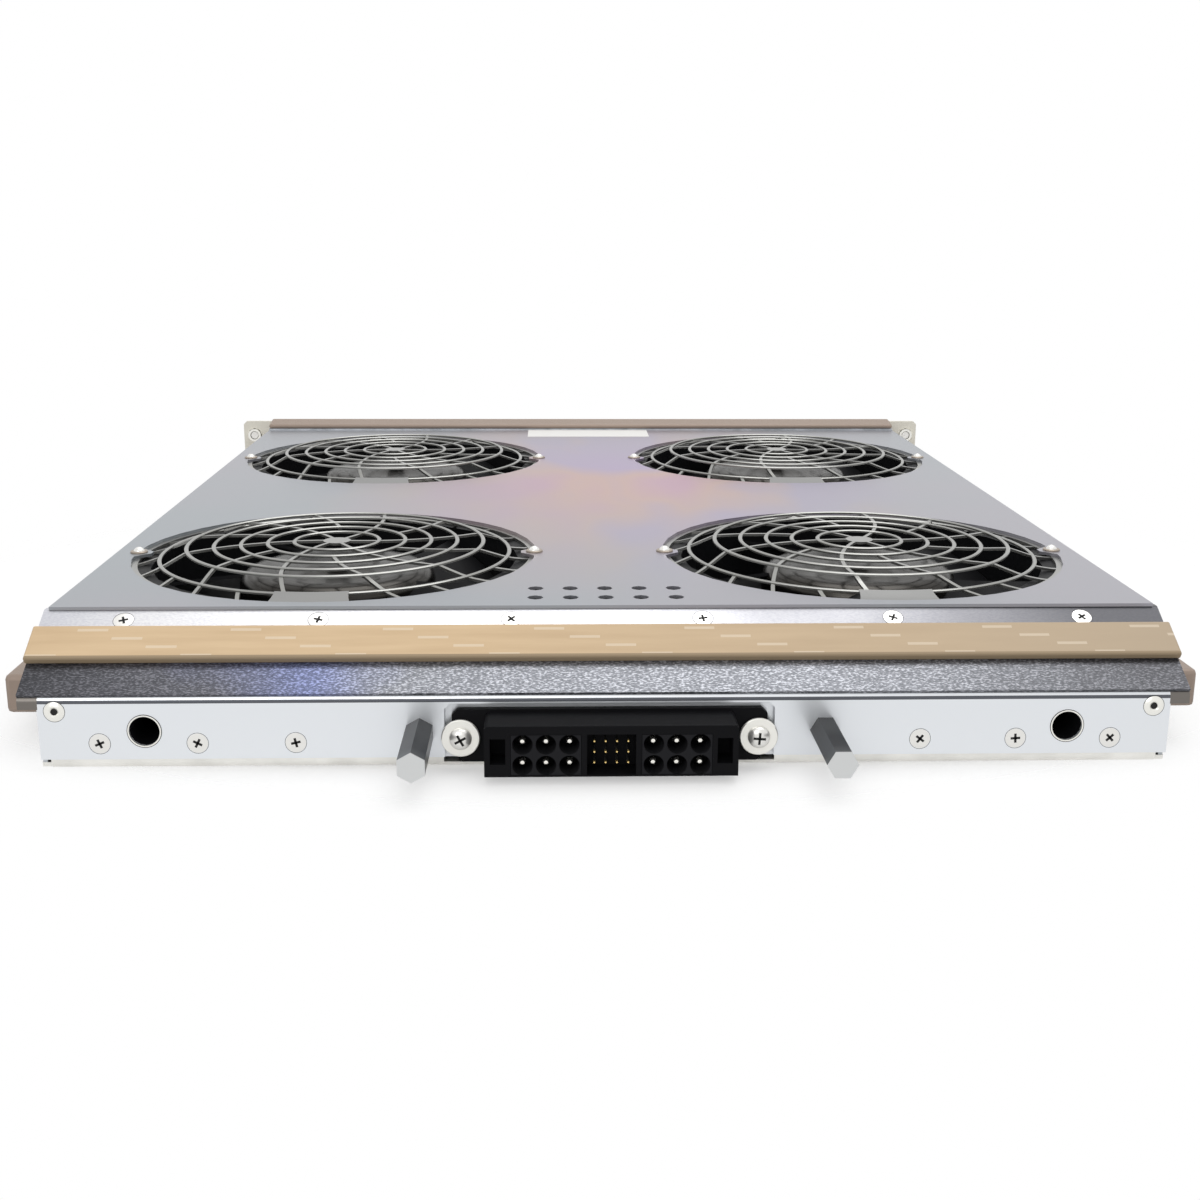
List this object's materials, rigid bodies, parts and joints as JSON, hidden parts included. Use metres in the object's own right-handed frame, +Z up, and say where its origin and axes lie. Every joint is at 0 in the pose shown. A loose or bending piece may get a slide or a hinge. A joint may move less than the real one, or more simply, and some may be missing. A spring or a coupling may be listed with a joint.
{
  "type": "rack fan tray",
  "caption": "Shallow sheet-metal fan tray for a rack chassis: round axial fans blow up through domed finger guards, with a blind-mate power connector at the rear.",
  "frame": {"origin": "middle of the tray's underside, half way between the two rows of fans", "axes": "+X to the right seen from the connector end, +Y from the connector end to the front panel, +Z up"},
  "size_m": [0.434, 0.5545, 0.0542],
  "materials": {
    "galvanised": "zinc-coated sheet with a fine spangle",
    "painted_light": "smooth pale grey-blue zinc sheet",
    "painted_cream": "smooth cream paint",
    "guard_wire": "stamped steel, satin",
    "rotor_dark": "dark nickel, satin",
    "black_plastic": "black moulded plastic",
    "nylon_dark": "dark moulded nylon",
    "tan_foam": "dull tan foam strip with a paper face",
    "fabric_gasket": "taupe conductive fabric over foam",
    "zinc_bright": "bright zinc plate",
    "screw_steel": "zinc-plated steel",
    "post_steel": "plain turned steel",
    "silver_plate": "silver plate",
    "gold_plate": "gold plate",
    "brass": "sintered bronze",
    "board_green": "green laminate",
    "label_white": "blank white paper label"
  },
  "bodies": {
    "tray": {"board_parts": "black_plastic", "board_pillars": "zinc_bright", "bottom_pan": "galvanised", "captive_ferrules": "zinc_bright", "connector_bushings": "zinc_bright", "connector_plate": "zinc_bright", "connector_screws": "screw_steel", "connector_washers": "zinc_bright", "control_board": "board_green", "cover_label": "label_white", "fan_bearings": "brass", "fan_guard_1": "guard_wire", "fan_guard_2": "guard_wire", "fan_guard_3": "guard_wire", "fan_guard_4": "guard_wire", "fan_housing_1": "black_plastic", "fan_housing_2": "black_plastic", "fan_housing_3": "black_plastic", "fan_housing_4": "black_plastic", "fan_motor_1": "black_plastic", "fan_motor_2": "black_plastic", "fan_motor_3": "black_plastic", "fan_motor_4": "black_plastic", "fan_screws": "screw_steel", "front_angle": "galvanised", "front_gasket": "fabric_gasket", "front_panel": "painted_cream", "gasket_bracket": "galvanised", "guide_block_left": "nylon_dark", "guide_block_right": "nylon_dark", "handle_left": "zinc_bright", "handle_right": "zinc_bright", "hex_posts": "post_steel", "rear_gasket": "tan_foam", "rear_panel": "painted_light", "side_gasket_left": "fabric_gasket", "side_gasket_right": "fabric_gasket", "side_panel_left": "galvanised", "side_panel_right": "galvanised", "top_cover": "galvanised"},
    "connector_float": {"connector_body": "black_plastic", "power_pins": "silver_plate", "signal_pins": "gold_plate"},
    "impeller_1": {"fan_impeller_1": "rotor_dark"},
    "impeller_2": {"fan_impeller_2": "rotor_dark"},
    "impeller_3": {"fan_impeller_3": "rotor_dark"},
    "impeller_4": {"fan_impeller_4": "rotor_dark"},
    "captive_low_left": {"captive_screw_low_left": "screw_steel"},
    "captive_low_right": {"captive_screw_low_right": "screw_steel"},
    "captive_high_left": {"captive_screw_high_left": "screw_steel"},
    "captive_high_right": {"captive_screw_high_right": "screw_steel"}
  },
  "joints": [
    {"name": "impeller_1_spin", "type": "hinge", "parent": "tray", "child": "impeller_1", "pos_m": [-0.108, -0.12, 0.0274], "axis": [0, 0, 1], "continuous": true},
    {"name": "impeller_2_spin", "type": "hinge", "parent": "tray", "child": "impeller_2", "pos_m": [0.108, -0.12, 0.0274], "axis": [0, 0, 1], "continuous": true},
    {"name": "impeller_3_spin", "type": "hinge", "parent": "tray", "child": "impeller_3", "pos_m": [-0.108, 0.12, 0.0274], "axis": [0, 0, 1], "continuous": true},
    {"name": "impeller_4_spin", "type": "hinge", "parent": "tray", "child": "impeller_4", "pos_m": [0.108, 0.12, 0.0274], "axis": [0, 0, 1], "continuous": true},
    {"name": "connector_shift", "type": "slide", "parent": "tray", "child": "connector_float", "axis": [1, 0, 0], "range_m": [-0.001, 0.001]},
    {"name": "captive_low_left_push", "type": "slide", "parent": "tray", "child": "captive_low_left", "axis": [0, -1, 0], "range_m": [0, 0.006], "stiffness_N_per_m": 300},
    {"name": "captive_low_right_push", "type": "slide", "parent": "tray", "child": "captive_low_right", "axis": [0, -1, 0], "range_m": [0, 0.006], "stiffness_N_per_m": 300},
    {"name": "captive_high_left_push", "type": "slide", "parent": "tray", "child": "captive_high_left", "axis": [0, -1, 0], "range_m": [0, 0.006], "stiffness_N_per_m": 300},
    {"name": "captive_high_right_push", "type": "slide", "parent": "tray", "child": "captive_high_right", "axis": [0, -1, 0], "range_m": [0, 0.006], "stiffness_N_per_m": 300}
  ]
}
